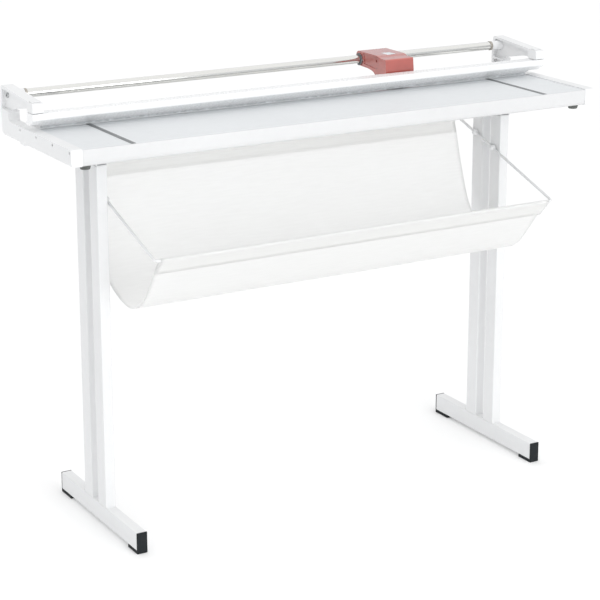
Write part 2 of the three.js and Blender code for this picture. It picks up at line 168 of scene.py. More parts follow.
def brushed_metal(name, dark, light, roughness, grain, stretch):
    """Bare metal with fine lines, long where stretch is small."""
    look = Look(name, roughness, metallic=1.0)
    lines = look.noise(grain, detail=4.0, stretch=stretch)
    look.drive("Base Color", look.blend(lines, dark, light))
    worn = look.noise(30.0, stretch=stretch)
    look.drive("Roughness", look.scaled(worn, roughness - 0.03, roughness + 0.05))
    look.bump(lines, 0.004 * MM)
    return look.material


def moulded(name, colour, edge, roughness, coat):
    """Moulded plastic: a spark-eroded grain, a slow mottle and convex edges painted in a lighter edge
    colour, a painted highlight.
    """
    look = Look(name, roughness)
    grain = look.noise(1600.0, detail=1.0)
    mottle = look.blend(look.noise(35.0), shade(colour, 0.94), shade(colour, 1.05))
    # The edge colour along convex edges is a painted highlight.
    look.drive("Base Color", look.mixed(look.edges(), mottle, (*edge, 1.0)))
    look.drive("Roughness", look.scaled(grain, roughness - 0.04, roughness + 0.1))
    look.shader.inputs["Coat Weight"].default_value = coat
    look.shader.inputs["Coat Roughness"].default_value = 0.2
    look.shader.inputs["Coat IOR"].default_value = 1.8
    look.bump(grain, 0.03 * MM)
    return look.material


def rubber(name, colour):
    """Matt rubber with a dusty bloom."""
    look = Look(name, 0.7)
    dust = look.noise(90.0, detail=5.0)
    look.drive("Base Color", look.blend(dust, colour, shade(colour, 1.5), start=0.45, end=0.75))
    look.drive("Roughness", look.scaled(dust, 0.55, 0.8))
    look.shader.inputs["Specular IOR Level"].default_value = 0.3
    look.bump(look.noise(1200.0), 0.05 * MM)
    return look.material


def ruled_strip(name, colour, mark):
    """A dark strip with a pale tick every five millimetres along Y."""
    look = Look(name, 0.45)
    y = look.node("ShaderNodeSeparateXYZ", {"Vector": look.place}).outputs["Y"]
    spacing = 5 * MM
    along = look.maths("PINGPONG", y, spacing / 2)
    tick = look.scaled(along, 1.0, 0.0, start=0.2 * MM, end=0.4 * MM)
    scuffed = look.blend(look.noise(40.0), shade(colour, 0.85), shade(colour, 1.1))
    visible = look.maths("MULTIPLY", tick, 0.35)
    look.drive("Base Color", look.mixed(visible, scuffed, (*mark, 1.0)))
    look.bump(look.noise(500.0), 0.02 * MM)
    return look.material


def woven(name, colour, pitch):
    """Thin plain-weave cloth that lets light through, laid out by UVs in metres."""
    look = Look(name, 0.85, coords="UV")
    across = look.node("ShaderNodeSeparateXYZ", {"Vector": look.place})
    turns = 2 * math.pi / pitch
    warp = look.maths("SINE", look.maths("MULTIPLY", across.outputs["X"], turns))
    weft = look.maths("SINE", look.maths("MULTIPLY", across.outputs["Y"], turns))
    weave = look.scaled(look.maths("MULTIPLY", warp, weft), 0.0, 1.0, start=-1.0, end=1.0)
    slub = look.noise(220.0, stretch=(0.08, 1.0, 1.0))
    thread = look.blend(slub, shade(colour, 0.975), colour)
    gaps = look.blend(weave, (0.5, 0.5, 0.5), colour)
    look.drive("Base Color", look.mixed(0.03, thread, gaps))
    look.shader.inputs["Sheen Weight"].default_value = 0.15
    look.shader.inputs["Sheen Roughness"].default_value = 0.5
    look.bump(look.mixed(0.4, weave, slub), 0.12 * MM, strength=0.5)
    through = look.node("ShaderNodeBsdfTranslucent", {"Color": thread}).outputs["BSDF"]
    surface = look.shader.outputs["BSDF"]
    share_through = 0.68
    both = look.node("ShaderNodeMixShader", {0: share_through, 1: surface, 2: through}).outputs["Shader"]
    look.tree.links.new(both, look.tree.nodes["Material Output"].inputs["Surface"])
    return look.material


def pale_floor():
    """A pale studio floor that is a little lit from below, so that shadows stay faint."""
    look = Look("studio_floor", 0.9)
    colour = look.blend(look.noise(0.7), (0.90, 0.90, 0.90), (0.92, 0.92, 0.92))
    look.drive("Base Color", colour)
    look.shader.inputs["Specular IOR Level"].default_value = 0.0
    look.shader.inputs["Emission Color"].default_value = (1.0, 1.0, 1.0, 1.0)
    look.shader.inputs["Emission Strength"].default_value = 0.05
    return look.material


# One white coat throughout, its factor on each part set to the tone that part shows under the light: the
# rails' coat is darker as painted shade, and the beam's lighter as painted light that lifts its shaded
# underside.
WHITE = (0.80, 0.805, 0.81)
paint = coated("white_powder_coat", shade(WHITE, 0.95), 0.42, 650.0, 0.03 * MM)
rail_paint_with_painted_shade = coated("white_coat_with_painted_shade_on_rails", shade(WHITE, 0.82), 0.4, 700.0, 0.02 * MM)
cast_paint = coated("white_coat_on_castings", WHITE, 0.46, 420.0, 0.05 * MM)
beam_paint_with_painted_light = coated("white_coat_with_painted_light_on_beam", shade(WHITE, 1.1), 0.26, 700.0, 0.01 * MM, (0.3, 1.0, 1.0))
table_paint = coated("grey_table_coat", (0.725, 0.745, 0.76), 0.42, 900.0, 0.03 * MM)
rod_paint = coated("white_coat_on_rods", shade(WHITE, 0.93), 0.35, 900.0, 0.02 * MM)
tube_steel = brushed_metal(
    "bright_drawn_steel", (0.71, 0.71, 0.69), (0.78, 0.78, 0.76), 0.1, 2500.0, (0.004, 1.0, 1.0))
blade_steel = brushed_metal(
    "ground_blade_steel", (0.56, 0.56, 0.57), (0.66, 0.66, 0.66), 0.3, 1800.0, (0.01, 1.0, 1.0))
zinc = brushed_metal("zinc_plate", (0.58, 0.59, 0.60), (0.70, 0.70, 0.69), 0.3, 600.0, (1.0, 1.0, 1.0))
# A darker zinc for the tube screws: their dark tone is the shade deep in their counterbores, painted
# into the colour.
zinc_darkened_as_shade = brushed_metal(
    "zinc_darkened_as_shade", (0.46, 0.47, 0.48), (0.56, 0.57, 0.57), 0.45, 600.0, (1.0, 1.0, 1.0))
bronze = brushed_metal(
    "dull_bronze_ring", (0.44, 0.41, 0.37), (0.52, 0.49, 0.44), 0.4, 500.0, (1.0, 1.0, 1.0))
# The second colour of each moulded plastic is its painted edge highlight.
red_plastic = moulded("red_plastic", (0.39, 0.068, 0.050), (0.60, 0.09, 0.06), 0.4, 1.0)
dark_plastic = moulded("dark_grey_plastic", (0.10, 0.105, 0.11), (0.22, 0.22, 0.23), 0.5, 0.0)
label_plastic = moulded("pale_blank_label", (0.72, 0.75, 0.78), (0.80, 0.82, 0.84), 0.35, 0.2)
cap_rubber = rubber("black_cap_rubber", (0.009, 0.012, 0.014))
foot_rubber = rubber("dark_foot_rubber", (0.09, 0.095, 0.09))
# The grip strip's grey is set to the tone of the shaded band under the beam: painted shade.
grip_rubber_toned_as_shade = rubber("grey_grip_rubber", (0.46, 0.48, 0.49))
strip_film = ruled_strip("dark_ruled_strip", (0.16, 0.17, 0.175), (0.6, 0.6, 0.6))
sling_cloth = woven("white_sling_cloth", (0.97, 0.97, 0.965), 0.9 * MM)
thread = coated("white_thread", (0.86, 0.86, 0.85), 0.8, 2000.0, 0.1 * MM)


# ---------------------------------------------------------------- mesh tools

def softened(points, radius, closed=False, steps=3):
    """A 2-D line with its corners rounded."""
    result = []
    for i, (a, b) in enumerate(points):
        if not closed and i in (0, len(points) - 1):
            result.append((a, b))
            continue
        corner = Vector((a, b))
        before = Vector(points[i - 1]) - corner
        after = Vector(points[(i + 1) % len(points)]) - corner
        reach = min(radius, before.length * 0.45, after.length * 0.45)
        start = corner + before.normalized() * reach
        end = corner + after.normalized() * reach
        for step in range(steps + 1):
            t = step / steps
            on_curve = start * (1 - t) ** 2 + corner * 2 * t * (1 - t) + end * t ** 2
            result.append(tuple(on_curve))
    return result


def loft(bm, rings, wrap=False):
    """Joins rings of as many points each. A ring of one point is a pole, and open ends get caps."""
    made = [[bm.verts.new(point) for point in ring] for ring in rings]
    pairs = list(zip(made, made[1:]))
    if wrap:
        pairs.append((made[-1], made[0]))
    for a, b in pairs:
        count = max(len(a), len(b))
        for i in range(count):
            j = (i + 1) % count
            corners = [a[i % len(a)], a[j % len(a)], b[j % len(b)], b[i % len(b)]]
            bm.faces.new(dict.fromkeys(corners))
    if not wrap:
        for end in (made[0], made[-1]):
            if len(end) > 2:
                bm.faces.new(end)


AXES = {
    "X": (Vector((1, 0, 0)), Vector((0, 1, 0)), Vector((0, 0, 1))),
    "Y": (Vector((0, 1, 0)), Vector((0, 0, 1)), Vector((1, 0, 0))),
    "Z": (Vector((0, 0, 1)), Vector((1, 0, 0)), Vector((0, 1, 0))),
}


def ring(centre, u, v, radius, segments, flutes=None):
    """Points round a centre. flutes(angle) scales the radius."""
    if radius == 0:
        return [centre]
    points = []
    for i in range(segments):
        angle = 2 * math.pi * i / segments
        reach = radius * (flutes(angle) if flutes else 1.0)
        points.append(centre + (u * math.cos(angle) + v * math.sin(angle)) * reach)
    return points


def turned(bm, profile, axis, centre, segments=64, soft=0.3, side=1):
    """Turns a profile of (radius, along) in millimetres about an axis through centre, in metres.
    A profile that ends where it starts makes a ring. side -1 mirrors it along the axis."""
    along, u, v = AXES[axis]
    closed = profile[0] == profile[-1]
    points = softened(profile[:-1] if closed else profile, soft, closed)
    rings = [
        ring(Vector(centre) + along * (side * place * MM), u, v, radius * MM, segments)
        for radius, place in points
    ]
    loft(bm, rings, wrap=closed)


def swept(bm, path, radius, sides=20):
    """A round bar along a line of points."""
    tangent = (path[1] - path[0]).normalized()
    normal = tangent.orthogonal().normalized()
    rings = []
    for i, point in enumerate(path):
        tangent = (path[min(i + 1, len(path) - 1)] - path[max(i - 1, 0)]).normalized()
        normal = (normal - tangent * normal.dot(tangent)).normalized()
        rings.append(ring(point, normal, tangent.cross(normal), radius, sides))
    loft(bm, rings)


def hexagonal(angle):
    return 1 / math.cos((angle % (math.pi / 3)) - math.pi / 6)


def screw_head(bm, centre, facing, radius, height):
    """A low button head with a hexagon socket. It stands on centre and looks along facing."""
    facing = Vector(facing).normalized()
    u = facing.orthogonal().normalized()
    v = facing.cross(u)
    socket = radius * 0.42
    levels = [
        (radius, -0.2, None), (radius, 0.35, None), (radius * 0.93, 0.7, None),
        (radius * 0.75, 0.93, None), (socket * 1.25, 1.0, None), (socket, 0.95, hexagonal),
        (socket * 0.98, 0.25, hexagonal), (0, 0.15, None),
    ]
    segments = 24
    rings = [
        ring(Vector(centre) + facing * (height * level), u, v, reach, segments, shape)
        for reach, level, shape in levels
    ]
    loft(bm, [[Vector(centre) - facing * (height * 0.2)], *rings])


def finished(name, bm, materials, like, stands_for=(), sharp=35.0):
    """Makes a piece of a mesh, with the given materials. It rides with the body of the CAD node like."""
    bmesh.ops.recalc_face_normals(bm, faces=bm.faces)
    for face in bm.faces:
        face.smooth = True
    for edge in bm.edges:
        edge.smooth = len(edge.link_faces) != 2 or edge.calc_face_angle() < math.radians(sharp)
    mesh = bpy.data.meshes.new(name)
    bm.to_mesh(mesh)
    bm.free()
    for material in materials:
        mesh.materials.append(material)
    piece = bpy.data.objects.new(name, mesh)
    bpy.context.collection.objects.link(piece)
    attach(piece, BODY_OF[like])
    if stands_for:
        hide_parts(*stands_for)
    return piece


def clean_copy(node, cutters=()):
    """A CAD node's mesh, less the cutters, with its triangles merged into flat faces."""
    bm = bmesh.new()
    bm.from_mesh(frame["nodes"][node].data)
    bmesh.ops.remove_doubles(bm, verts=bm.verts, dist=0.002 * MM)
    if cutters:
        bm = carved(bm, cutters)
    bmesh.ops.dissolve_limit(
        bm, angle_limit=math.radians(1.0), verts=bm.verts, edges=bm.edges)
    for face in bm.faces:
        face.material_index = 0
    return bm


def round_edges(bm, width, segments=2, chosen=None):
    """Rounds the sharp edges, or those of them that chosen(edge) accepts."""
    corner = math.radians(28.0)
    edges = [
        edge for edge in bm.edges
        if len(edge.link_faces) == 2 and edge.calc_face_angle() > corner
        and (chosen is None or chosen(edge))
    ]
    bmesh.ops.bevel(
        bm, geom=edges, offset=width * MM, segments=segments, profile=0.5,
        affect="EDGES", clamp_overlap=True)


def prism(outline, levels):
    """A (y, z) outline in millimetres, drawn out along X. Each level is an x and the outline's scale."""
    middle = sum((Vector(point) for point in outline), Vector((0.0, 0.0))) / len(outline)
    rings = []
    for x, scale in levels:
        points = [middle + (Vector(point) - middle) * scale for point in outline]
        rings.append([Vector((x, point.x, point.y)) * MM for point in points])
    bm = bmesh.new()
    loft(bm, rings)
    return bm


def carved(bm, cutters):
    """A mesh with the cutters' volumes taken out of it."""
    shapes = []
    for shape in (bm, *cutters):
        bmesh.ops.recalc_face_normals(shape, faces=shape.faces)
        mesh = bpy.data.meshes.new("carving")
        shape.to_mesh(mesh)
        shape.free()
        shapes.append(bpy.data.objects.new("carving", mesh))
        bpy.context.collection.objects.link(shapes[-1])
    whole = shapes[0]
    for cutter in shapes[1:]:
        modifier = whole.modifiers.new("carving", "BOOLEAN")
        modifier.object = cutter
        modifier.solver = "EXACT"
    shown = whole.evaluated_get(bpy.context.evaluated_depsgraph_get())
    result = bmesh.new()
    result.from_mesh(shown.to_mesh())
    shown.to_mesh_clear()
    for shape in shapes:
        bpy.data.meshes.remove(shape.data)
    bmesh.ops.remove_doubles(result, verts=result.verts, dist=0.002 * MM)
    bmesh.ops.dissolve_degenerate(result, dist=0.01 * MM, edges=result.edges)
    return result


def refined(node, width, material, segments=2):
    """Stands for a CAD node, with the same shape and softly rounded edges."""
    bm = clean_copy(node)
    round_edges(bm, width, segments)
    piece = finished(f"{node}_finish", bm, [material], node, [node])
    weigh_normals(piece)
    return piece


def weigh_normals(piece):
    """Lets large flat faces set the shading of the rounded edges beside them."""
    weighted = piece.modifiers.new("flat_faces_first", "WEIGHTED_NORMAL")
    weighted.keep_sharp = True


def paired(*names):
    return [f"{side}_{name}" for name in names for side in SIDES]


# ---------------------------------------------------------------- pieces that keep their CAD shape

def refine_cad_pieces():
    """Each row is some nodes, how far their edges are rounded in millimetres, and their material."""
    rows = [
        (["table_top"], 0.6, table_paint),
        (["front_rail"], 0.9, rail_paint_with_painted_shade),
        (["bed_rail", "rear_rail"], 1.0, rail_paint_with_painted_shade),
        (["fixed_blade"], 0.3, blade_steel),
        (paired("scale_strip"), 0.12, strip_film),
        (["clamp_beam"], 0.8, beam_paint_with_painted_light),
        (["clamp_rubber"], 0.4, grip_rubber_toned_as_shade),
        (paired("nose_cap"), 0.6, cast_paint),
        (paired("front_leg", "rear_leg", "foot_tube", "top_bearer"), 0.5, paint),
        (paired("front_foot_cap", "rear_foot_cap"), 1.0, cap_rubber),
        (paired("front_table_foot", "rear_table_foot"), 1.0, foot_rubber),
    ]
    for nodes, width, material in rows:
        for node in nodes:
            refined(node, width, material)


# Millimetres, because they go into profiles.
FRAME_OUTER = 725
FRAME_SCREWS = [(y, 984) for y in (-180, -86, 8, 103)]
SCREW_SEAT = FRAME_OUTER - 4


def end_frames():
    """The castings, with a sunk hole for each screw through the rail."""

    def off_the_holes(edge):
        middle = (edge.verts[0].co + edge.verts[1].co) / (2 * MM)
        return all(math.hypot(middle.y - y, middle.z - z) > 6 for y, z in FRAME_SCREWS)

    chamfer = FRAME_OUTER - 0.6
    outside = FRAME_OUTER + 1
    profile = [(0, SCREW_SEAT), (3.5, SCREW_SEAT), (3.5, chamfer), (4.1, outside), (0, outside)]
    for side, sign in SIDES.items():
        node = f"{side}_end_frame"
        cutters = []
        for y, z in FRAME_SCREWS:
            hole = bmesh.new()
            turned(hole, profile, "X", (0, y * MM, z * MM), 24, soft=0.1, side=sign)
            cutters.append(hole)
        bm = clean_copy(node, cutters)
        round_edges(bm, 1.3, chosen=off_the_holes)
        piece = finished(f"{node}_casting", bm, [cast_paint], node, [node])
        weigh_normals(piece)


# ---------------------------------------------------------------- guide tube

GUIDE_Y = 195 * MM
GUIDE_Z = 1050 * MM
ON_GUIDE = (0.0, GUIDE_Y, GUIDE_Z)


def one_turned(name, profile, axis, centre, material, like, **options):
    """A turned piece that stands for its CAD node."""
    bm = bmesh.new()
    turned(bm, profile, axis, centre, **options)
    return finished(name, bm, [material], like, [like])


def guide_tube():
    """The round tube that the head slides on, open at both ends."""
    outer, bore, end = 11.0, 9.0, 675.0
    profile = [(bore, -end), (outer, -end), (outer, end), (bore, end), (bore, -end)]
    one_turned("guide_tube_steel", profile, "X", ON_GUIDE, tube_steel, "guide_tube", segments=96)


def tube_ends():
    """At each end of the tube a bumper ring, the casting's socket and the screw that holds it."""
    for side, sign in SIDES.items():
        bumper = [(11.3, 669), (12.2, 669), (12.2, 674.7), (11.3, 674.7), (11.3, 669)]
        one_turned(f"{side}_bumper", bumper, "X", ON_GUIDE, bronze, f"{side}_bumper_ring",
                   soft=0.5, side=sign)
        socket = [
            (4.4, 659.3), (8.7, 659.3), (8.7, 675.3), (12.3, 675.3), (12.3, 696), (13.0, 701.5),
            (14.4, 706.7), (4.4, 706.7), (4.4, 659.3),
        ]
        one_turned(f"{side}_socket", socket, "X", ON_GUIDE, cast_paint, f"{side}_tube_socket",
                   soft=0.8, side=sign)
        tube_screw(side, sign)


def tube_screw(side, sign):
    """A socket screw through the end frame and into the tube."""
    node = f"{side}_tube_screw"
    under = 715.3
    bm = bmesh.new()
    turned(bm, [(0, 661), (4, 661), (4, 715.5), (0, 715.5)], "X", ON_GUIDE, 32, side=sign)
    screw_head(bm, (sign * under * MM, GUIDE_Y, GUIDE_Z), (sign, 0, 0), 6.5 * MM, 3.5 * MM)
    finished(f"{side}_screw", bm, [zinc_darkened_as_shade], node, [node])


# ---------------------------------------------------------------- clamp beam's ends

NOSE_X = 711 * MM
PIN_Y = 40 * MM
SPRING_SEAT = 1037.8  # millimetres, because it goes into a profile


def coil_path(centre, axis, radius, low, high, turns):
    """A coil's centre line, from low to high along its axis."""
    along, u, v = AXES[axis]
    steps_per_turn = 20
    steps = round(turns * steps_per_turn)
    path = []
    for i in range(steps + 1):
        angle = 2 * math.pi * turns * i / steps
        place = along * ((low + (high - low) * i / steps) * MM)
        path.append(centre + place + (u * math.cos(angle) + v * math.sin(angle)) * (radius * MM))
    return path


def beam_pins():
    """The headed pins that guide the beam's ends."""
    for side, sign in SIDES.items():
        node = f"{side}_beam_pin"
        centre = (sign * NOSE_X, PIN_Y, 0.0)
        profile = [(0, 1021), (3, 1021), (3, 1053.6), (5.8, 1053.6), (5.8, 1056.2), (0, 1056.2)]
        one_turned(f"{side}_pin", profile, "Z", centre, zinc, node, segments=32)


def beam_springs():
    """The coils round the pins, drawn at one length; on the machine they close up as the beam goes down.
    """
    coil_radius = 4.7
    wire = 0.5
    top = 1053.3
    for side, sign in SIDES.items():
        node = f"{side}_beam_spring"
        bm = bmesh.new()
        centre = Vector((sign * NOSE_X, PIN_Y, 0.0))
        path = coil_path(centre, "Z", coil_radius, SPRING_SEAT + wire, top - wire, turns=4)
        swept(bm, path, wire * MM, sides=8)
        spring = finished(f"{side}_spring", bm, [zinc], node, [node])
        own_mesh(spring)


# ---------------------------------------------------------------- cutting head

HEAD_X = 300 * MM
BLADE_Z = 1010 * MM


def head_housing():
    """The moulded cover: each side is sunk between the front block, the top rim and the arch."""
    middle = 300
    sunk = softened([
        (102, 1042), (114, 1036), (130, 1036.5), (150, 1039.5), (174, 1041), (178, 1048),
        (178, 1066), (174, 1068.3), (113, 1068), (102, 1064),
    ], 1.5, closed=True)

    def off_the_panels(edge):
        points = [vert.co / MM for vert in edge.verts]
        return not all(
            abs(point.x - middle) > 36 and 101 < point.y < 179.5 and 1035 < point.z < 1069
            for point in points)

    cutters = []
    for sign in (-1, 1):
        levels = [(middle + sign * reach, scale) for reach, scale in (
            (39.8, 0.99), (41.3, 1.0), (42, 1.02), (43, 1.02))]
        cutters.append(prism(sunk, levels))
        hole = bmesh.new()
        turned(hole, [(0, 37), (3, 37), (3.4, 44), (0, 44)], "X",
               (HEAD_X, 116 * MM, 1056 * MM), 24, side=sign)
        cutters.append(hole)
    bm = clean_copy("head_housing", cutters)
    round_edges(bm, 1.2, segments=3, chosen=off_the_panels)
    piece = finished("head_cover", bm, [red_plastic], "head_housing", ["head_housing"])
    weigh_normals(piece)


def teeth(angle):
    """The castellated rim of a bush's flange."""
    count = 12
    return 1.0 if math.cos(count * angle) > 0 else 0.91


def guide_bushes():
    """A sleeve in each side of the head, with a toothed flange outside it."""
    bore = 11.13
    inner_end = 24
    flange = 42.3
    for side, sign in SIDES.items():
        node = f"{side}_guide_bush"
        centre = Vector((HEAD_X, GUIDE_Y, GUIDE_Z))
        bm = bmesh.new()
        sleeve = [
            (bore, inner_end), (13.7, inner_end), (13.7, flange), (bore, flange), (bore, inner_end)]
        turned(bm, sleeve, "X", centre, side=sign)
        along, u, v = AXES["X"]
        segments = 144
        levels = [
            (bore, flange, None), (16.0, flange, teeth), (16.0, 44.9, teeth), (15.4, 45.3, teeth),
            (11.5, 45.3, None), (bore, 44.9, None),
        ]
        rings = [
            ring(centre + along * (sign * place * MM), u, v, radius * MM, segments, shape)
            for radius, place, shape in levels
        ]
        loft(bm, rings, wrap=True)
        finished(f"{side}_bush", bm, [dark_plastic], node, [node])


def blade_assembly():
    """The round blade on its hub and axle, with the spring that presses it forward."""
    centre = (HEAD_X, 0.0, BLADE_Z)
    wheel = [(9.3, 76), (22, 76), (20.4, 77.9), (9.3, 77.9), (9.3, 76)]
    hub = [
        (5.08, 75.5), (9.0, 75.5), (9.0, 78.2), (14, 78.2), (14, 80.4), (9.0, 80.4), (9.0, 88),
        (5.08, 88), (5.08, 75.5),
    ]
    axle = [(0, 73), (7, 73), (7, 75.2), (5, 75.2), (5, 112), (0, 112)]
    one_turned("cutting_wheel", wheel, "Y", centre, blade_steel, "blade_wheel",
               segments=96, soft=0.05)
    one_turned("wheel_hub", hub, "Y", centre, dark_plastic, "blade_hub")
    one_turned("wheel_axle", axle, "Y", centre, zinc, "blade_axle", segments=40)
    coil_radius = 7.2
    wire = 0.7
    bm = bmesh.new()
    swept(bm, coil_path(Vector(centre), "Y", coil_radius, 89, 102, turns=3), wire * MM, sides=8)
    finished("wheel_spring", bm, [zinc], "blade_spring", ["blade_spring"])


def press_rollers():
    """The two rubber-tyred rollers that run on the clamp beam's lip."""
    for side, sign in SIDES.items():
        centre = (HEAD_X + sign * 34 * MM, 0.0, 1017.3 * MM)
        tyre = [(2.58, 59.5), (7, 59.5), (7, 66.2), (2.58, 66.2), (2.58, 59.5)]
        pin = [(0, 58.5), (3.6, 58.5), (3.6, 59.3), (2.5, 59.3), (2.5, 80), (0, 80)]
        one_turned(f"{side}_roller", tyre, "Y", centre, dark_plastic, f"{side}_press_roller",
                   segments=48, soft=0.8)
        one_turned(f"{side}_roller_pin", pin, "Y", centre, zinc, f"{side}_roller_axle",
                   segments=32, soft=0.2)


# ---------------------------------------------------------------- sling

ROD_RADIUS = 3.5 * MM
ARM_X = 555 * MM
HEM_ROD = Vector((0.0, -250.8 * MM, 730 * MM))
REAR_ROD = Vector((0.0, 175 * MM, 873 * MM))
CLOTH_HALF_WIDTH = 543 * MM
LOOP = 4.3 * MM
CLOTH_THICKNESS = 0.7 * MM
SEAMS = [
    ("hem_stitches", Vector((0.0, -0.2232, 0.6938)), Vector((0.0, -0.64, -0.77))),
    ("rear_stitches", Vector((0.0, 0.1610, 0.8399)), Vector((0.0, 0.94, -0.34))),
    ("rear_inner_stitches", Vector((0.0, 0.1590, 0.8401)), Vector((0.0, -0.94, 0.34))),
]


def sling_rods():
    """The rods in the sling's two loops."""
    for node, rod, half in (("front_hem_rod", HEM_ROD, 531.7), ("rear_sling_rod", REAR_ROD, 551.2)):
        profile = [(0, -half), (3.5, -half), (3.5, half), (0, half)]
        one_turned(f"{node}_bar", profile, "X", rod, rod_paint, node, segments=32, soft=0.6)


def sling_arms():
    """The side arms: straight down from the rear rod, then bent into the hem."""
    bend = 12 * MM
    bend_steps = 12
    down = (HEM_ROD - REAR_ROD).normalized()
    for side, sign in SIDES.items():
        node = f"{side}_sling_arm"
        offset = Vector((sign * ARM_X, 0.0, 0.0))
        corner = HEM_ROD + offset
        inwards = Vector((-sign, 0.0, 0.0))
        start = corner - down * bend
        end = corner + inwards * bend
        path = [REAR_ROD + offset - down * (4 * MM)]
        for i in range(bend_steps + 1):
            t = i / bend_steps
            path.append(start * (1 - t) ** 2 + corner * 2 * t * (1 - t) + end * t ** 2)
        path.append(corner + inwards * (23 * MM))
        bm = bmesh.new()
        swept(bm, path, ROD_RADIUS)
        finished(f"{side}_arm", bm, [rod_paint], node, [node])


def arm_clips():
    """Domed clips that hold the arms against the legs, each with its screw."""
    slope = (REAR_ROD.z - HEM_ROD.z) / (REAR_ROD.y - HEM_ROD.y)
    dome = [(0, 547), (4, 547.6), (7, 550), (8, 553), (8, 560.7), (0, 560.7)]
    for side, sign in SIDES.items():
        for place, y in (("front", 9 * MM), ("rear", 89 * MM)):
            node = f"{side}_{place}_arm_clip"
            z = REAR_ROD.z - (REAR_ROD.y - y) * slope
            bm = bmesh.new()
            turned(bm, dome, "X", (0.0, y, z), segments=40, soft=2.0, side=sign)
            screw_head(bm, (sign * 547.4 * MM, y, z), (-sign, 0, 0), 2.6 * MM, 1.2 * MM)
            finished(f"{side}_{place}_clip", bm, [rod_paint], node, [node])


def spline(points, steps):
    """A smooth line through 2-D points."""
    result = []
    for i in range(len(points) - 1):
        before = points[max(i - 1, 0)]
        a, b = points[i], points[i + 1]
        after = points[min(i + 2, len(points) - 1)]
        for step in range(steps):
            t = step / steps
            result.append(0.5 * (
                a * 2 + (b - before) * t + (before * 2 - a * 5 + b * 4 - after) * t ** 2
                + (a * 3 - before - b * 3 + after) * t ** 3))
    result.append(points[-1])
    return result


def around(rod, start, end, steps=14):
    """(y, z) points on a loop of cloth round a rod, from one angle to another in degrees."""
    points = []
    for i in range(steps + 1):
        angle = math.radians(start + (end - start) * i / steps)
        points.append(Vector((rod.y + LOOP * math.cos(angle), rod.z + LOOP * math.sin(angle))))
    return points


def cloth_line():
    """The cloth's (y, z) line, with the parts of it that are flaps folded over the rods.
    It starts with the rear flap, goes over the rear rod, hangs, rises inside the hem rod
    and ends with the flap outside it."""
    hang = [
        (133, 768), (95, 668), (60, 622), (15, 592), (-45, 573), (-95, 575), (-140, 600),
        (-180, 645), (-215, 693),
    ]
    hang = [Vector((y * MM, z * MM)) for y, z in hang]
    rear_loop = around(REAR_ROD, -38, 198)
    hem_loop = around(HEM_ROD, 37, 212)
    body = spline([rear_loop[-1], *hang, hem_loop[0]], 8)
    rear_flap = [Vector((y * MM, z * MM)) for y, z in ((158.1, 833), (162.9, 846), (168.0, 859))]
    hem_flap = [
        Vector((y * MM, z * MM))
        for y, z in ((-246.6, 718.5), (-238.0, 709.5), (-228.4, 699.5), (-219.6, 689.5))
    ]
    return [*rear_flap, *rear_loop, *body[1:-1], *hem_loop, *hem_flap]


def cloth_ripple(x, along):
    """How far the hanging cloth stands off its line: long soft waves that fade at the rods."""
    waves = (
        (0.7, 4.1, 5.0, 0.4), (0.4, 7.7, -3.0, 1.9), (0.2, 13.3, 5.0, 4.1), (0.1, 23.0, 3.0, 2.7),
    )
    height = sum(
        size * math.sin(across * x + down * along + phase) for size, across, down, phase in waves)
    return height * MM


def cloth_rows(bm, line, lengths, columns):
    """The cloth's points, each with its place on the flat sheet. The hanging part ripples, and its
    sides draw in a little."""
    total = lengths[-1]
    fade = 0.09
    pull_in = 4 * MM
    rows = []
    for point, before, after, along in zip(
            line, [line[0], *line], [*line[1:], line[-1]], lengths):
        tangent = (after - before).normalized()
        normal = Vector((-tangent.y, tangent.x))
        free = max(0.0, min(1.0, (along - fade) / fade, (total - fade - along) / fade))
        half = CLOTH_HALF_WIDTH - pull_in * free
        row = []
        for column in range(columns + 1):
            x = half * (2 * column / columns - 1)
            stand = normal * (cloth_ripple(x, along) * free)
            vert = bm.verts.new((x, point.x + stand.x, point.y + stand.y))
            row.append((vert, (x, along)))
        rows.append(row)
    return rows


def sling_sheet():
    """The cloth as one sheet, with UVs in metres."""
    line = cloth_line()
    lengths = [0.0]
    for a, b in zip(line, line[1:]):
        lengths.append(lengths[-1] + (b - a).length)
    columns = 90
    bm = bmesh.new()
    uv = bm.loops.layers.uv.new("UVMap")
    rows = cloth_rows(bm, line, lengths, columns)
    for low, high in zip(rows, rows[1:]):
        for i in range(columns):
            corners = (low[i], low[i + 1], high[i + 1], high[i])
            face = bm.faces.new([vert for vert, place in corners])
            for loop, (vert, place) in zip(face.loops, corners):
                loop[uv].uv = place
    piece = finished("catch_sling", bm, [sling_cloth], "paper_sling", ["paper_sling"], sharp=80.0)
    thick = piece.modifiers.new("cloth_thickness", "SOLIDIFY")
    thick.thickness = CLOTH_THICKNESS
    thick.offset = 0.0
    seams = [stitches(name, place, outward) for name, place, outward in SEAMS]


def stitches(name, centre, outward):
    """A straight row of stitches along X, standing on a flap that faces outward."""
    bm = bmesh.new()
    outward = outward.normalized()
    pitch = 4.5 * MM
    length = 3.2 * MM
    radius = 0.28 * MM
    reach = CLOTH_HALF_WIDTH - 4 * MM
    count = int(2 * reach / pitch)
    for i in range(count):
        x = -reach + pitch * (i + 0.5)
        path = []
        for t, lift in ((-0.5, -0.3), (-0.3, 0.5), (0.0, 0.7), (0.3, 0.5), (0.5, -0.3)):
            path.append(centre + Vector((x + t * length, 0, 0)) + outward * (lift * radius))
        swept(bm, path, radius, sides=6)
    return finished(name, bm, [thread], "paper_sling")


# ---------------------------------------------------------------- fixings that the CAD leaves out

STAND_X = 574.5 * MM


